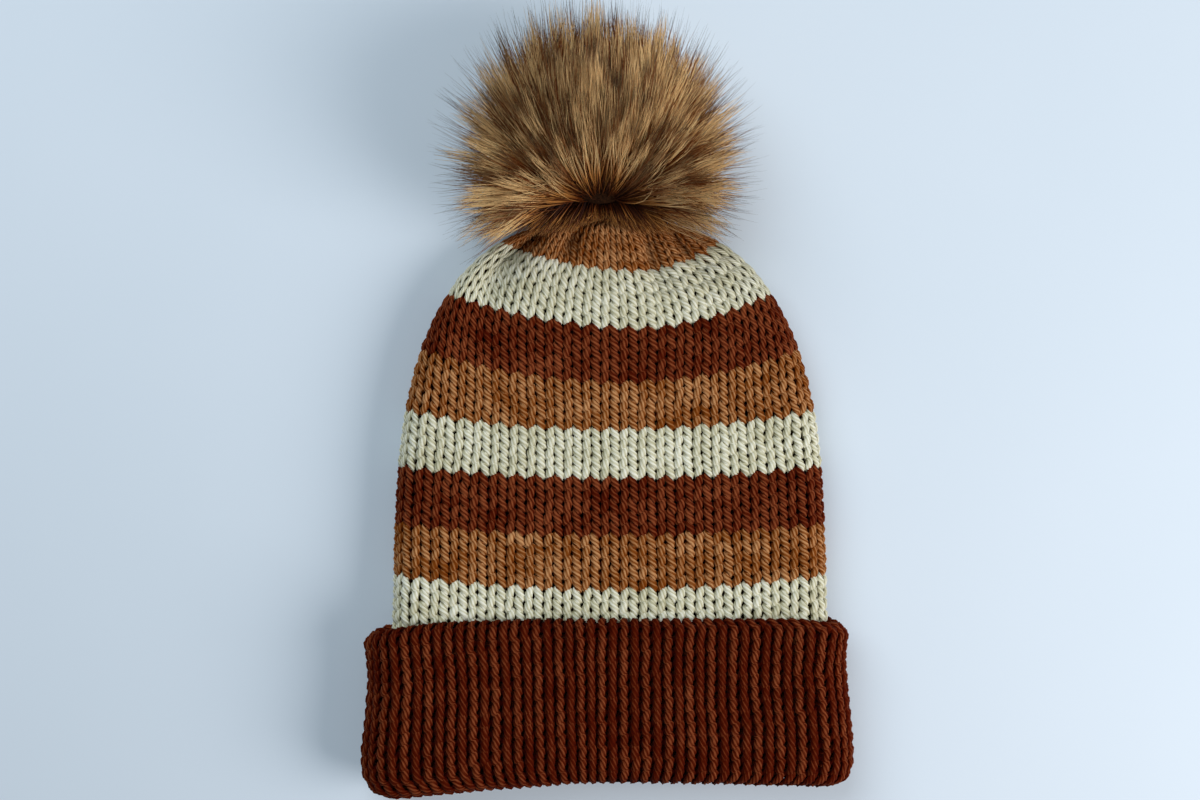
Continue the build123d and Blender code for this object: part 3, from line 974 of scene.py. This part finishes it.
def spiral_angles(count):
    """Polar angles and azimuths spread evenly over the part of a ball that has fur tips."""
    place = (np.arange(count) + 0.5) / count
    azimuth = GOLDEN_ANGLE * np.arange(count)
    polar = np.arccos(1 - place * (1 - math.cos(WIDEST_TIP)))
    return polar * widest_tip(azimuth) / WIDEST_TIP, azimuth


def tip_radius(direction):
    """How far the fur reaches: longer at the sides, most at the left, than along the axis."""
    side = direction @ POM_SIDE
    back = np.clip(-(direction @ POM_AXIS), 0, 1)
    sideways = SIDE_REACH * np.abs(side) + LEFT_REACH * (side < 0)
    return POM_RADIUS * (LEAST_REACH + sideways + BACK_REACH * back)


def clear_of_hat(points):
    """Lifts hairs over the crown, and keeps those beside and under it out of it and the table."""
    x, y, z = points[..., 0], points[..., 1], points[..., 2]
    half_width, half_height, middle = section(y)
    beside = (y < NOSE_Y) & (np.abs(x) < half_width)
    above = z > middle - CROWN_SIDE
    top = middle + half_height * np.sqrt(np.clip(1 - (x / half_width) ** 4, 0, 1)) + HAIR_GAP
    lifted = np.where(beside & above, np.maximum(z, top), z)
    under = beside & (lifted <= middle - CROWN_SIDE)
    y = np.where(under, NOSE_Y + (NOSE_Y - y) * UNDER_SHARE, y)
    bent = FLOOR_GAP + (FLOOR_SOFTNESS - FLOOR_GAP) * np.exp((lifted - FLOOR_SOFTNESS) / FLOOR_SOFTNESS)
    return np.stack((x, y, np.where(lifted < FLOOR_SOFTNESS, bent, lifted)), axis=-1)


def nearest_lock(direction, lock_direction):
    """The lock that each hair belongs to, found for a few thousand hairs at a time."""
    parts = np.array_split(direction, 6)
    return np.concatenate([np.argmax(part @ lock_direction.T, axis=1) for part in parts])


def make_fur():
    """Corners of all hairs, how far along its hair each ring is, and the tone of each hair."""
    lock_polar, lock_azimuth = spiral_angles(LOCKS)
    lock_direction = round_axis(lock_polar + random.normal(0, AIM_SPREAD, LOCKS), lock_azimuth)
    dark_lock = random.random(LOCKS) < DARK_LOCKS
    lock_tone = np.where(dark_lock, *LOCK_TONES) + random.normal(0, TONE_SPREAD, LOCKS)
    lock_length = 1 + random.normal(0, LOCK_LENGTH_SPREAD, LOCKS) - DARK_LOCK_SHORTER * dark_lock
    lock_root = 1 + random.normal(0, LOCK_ROOT_SPREAD, LOCKS)

    # Tips, gathered in locks
    direction = round_axis(*spiral_angles(HAIRS))
    lock = nearest_lock(direction, lock_direction)
    gather = random.uniform(*GATHERED, HAIRS)[:, None]
    gathered = direction * (1 - gather) + lock_direction[lock] * gather
    tip_direction = unit(gathered + random.normal(0, AIM_SPREAD, (HAIRS, 3)))
    guard = random.random(HAIRS) < GUARD_HAIRS
    tip_direction = unit(tip_direction + guard[:, None] * random.normal(0, GUARD_AIM_SPREAD, (HAIRS, 3)))
    length = lock_length[lock] * (1 + random.normal(0, HAIR_LENGTH_SPREAD, HAIRS)) - SHORTER
    short = random.random(HAIRS) < SHORT_HAIRS[0]
    length *= np.where(short, random.uniform(SHORT_HAIRS[1], 1, HAIRS), 1)
    length = np.where(guard, random.uniform(*GUARD_LENGTH, HAIRS), length)

    # Roots, which crowd towards the snap
    tip_polar = np.arccos(np.clip(tip_direction @ POM_AXIS, -1, 1))
    tip_azimuth = np.arctan2(tip_direction @ POM_FRONT, tip_direction @ POM_SIDE)
    share = tip_polar / widest_tip(tip_azimuth)
    root_polar = FARTHEST_ROOT * (1 - np.exp(-ROOT_CLOSENESS * share))
    root_polar = root_polar * lock_root[lock] * random.uniform(*ROOT_RANGE, HAIRS)
    root_polar = np.clip(root_polar, 0, FARTHEST_ROOT)
    root_azimuth = tip_azimuth + random.normal(0, ROOT_TURN_SPREAD, HAIRS)
    root_direction = round_axis(root_polar, root_azimuth)

    # The collar
    collar = random.random(HAIRS) < COLLAR_SHARE
    sideways = np.cos(tip_azimuth) ** 2
    low, high = (
        side * sideways + front * (1 - sideways)
        for side, front in zip(COLLAR_SIDE_POLAR, COLLAR_FRONT_POLAR)
    )
    collar_polar = low + (high - low) * random.random(HAIRS)
    collar_root = round_axis(np.clip(collar_polar + COLLAR_LEAN, *COLLAR_ROOT_POLAR), tip_azimuth)
    root = ROOT_RADIUS * np.where(collar[:, None], collar_root, root_direction)
    tip_direction = np.where(collar[:, None], round_axis(collar_polar, tip_azimuth), tip_direction)
    collar_reach = random.uniform(*COLLAR_REACH, HAIRS) + COLLAR_SIDEWAYS * sideways
    farthest = (COLLAR_LIMIT + COLLAR_LAP * sideways) / np.abs(np.cos(collar_polar))
    collar_reach = np.minimum(collar_reach, farthest * random.uniform(*COLLAR_RANGE, HAIRS))
    tip = tip_direction * np.where(collar, collar_reach, tip_radius(tip_direction) * length)[:, None]

    # Lines from root to tip, bowed outward
    middle = (root + tip) / 2
    bow = random.normal(*BOW, HAIRS) * np.where(collar, COLLAR_BOW, 1)
    middle = middle + unit(middle) * bow[:, None] + random.normal(0, WAVE, (HAIRS, 3))
    along = np.linspace(0, 1, HAIR_RINGS)
    s = along[None, :, None]
    line = (1 - s) ** 2 * root[:, None] + 2 * s * (1 - s) * middle[:, None] + s**2 * tip[:, None]
    line = clear_of_hat(line + POM_CENTRE)

    # Tubes
    tangent = unit(np.gradient(line, axis=1))
    reference = unit(np.cross(tangent, random.normal(0, 1, (HAIRS, 1, 3))))
    other = np.cross(tangent, reference)
    thickness = HAIR_RADIUS * random.uniform(*THICKNESS_RANGE, HAIRS) * np.where(guard, GUARD_THICKNESS, 1)
    radius = (TAPER * thickness[:, None])[..., None]
    corner = 2 * math.pi * np.arange(HAIR_SIDES) / HAIR_SIDES
    points = (
        line[:, :, None]
        + reference[:, :, None] * (radius * np.cos(corner))[..., None]
        + other[:, :, None] * (radius * np.sin(corner))[..., None]
    )
    tone = lock_tone[lock] + random.normal(0, TONE_SPREAD, HAIRS) + COLLAR_TONE * collar
    shown = along[None, :] * np.where(collar, COLLAR_PART, 1)[:, None]
    return points, shown, np.clip(np.where(guard, 1, tone), 0, 1)


fur_points, fur_along, fur_tone = make_fur()
for number in range(FUR_PIECES):
    chosen = slice(number, None, FUR_PIECES)
    points = fur_points[chosen]
    count = len(points)
    hair, ring, side = np.meshgrid(
        np.arange(count), np.arange(HAIR_RINGS - 1), np.arange(HAIR_SIDES), indexing="ij"
    )
    fur = mesh_object(
        f"fur_{number + 1}",
        points.reshape(-1, 3),
        grid_faces(count, HAIR_RINGS, HAIR_SIDES, False),
        FUR,
        "pom",
        {"OFBake": bake_layout(hair, count, ring, HAIR_RINGS - 1, side, HAIR_SIDES, HAIR_MARGIN)},
        {
            "along": np.broadcast_to(fur_along[chosen][:, :, None], points.shape[:3]),
            "tone": np.broadcast_to(fur_tone[chosen][:, None, None], points.shape[:3]),
        },
    )
    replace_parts(fur, "pom_pile")

# ---------------------------------------------------------------- floor
FLOOR_SIZE = 6.0
floor_points = np.array([(-1, -1, 0), (1, -1, 0), (1, 1, 0), (-1, 1, 0)]) * FLOOR_SIZE
floor_mesh = bpy.data.meshes.new("floor")
floor_mesh.from_pydata(floor_points.tolist(), [], [(0, 1, 2, 3)])
floor_mesh.materials.append(FLOOR)
floor = bpy.data.objects.new("floor", floor_mesh)
bpy.context.scene.collection.objects.link(floor)
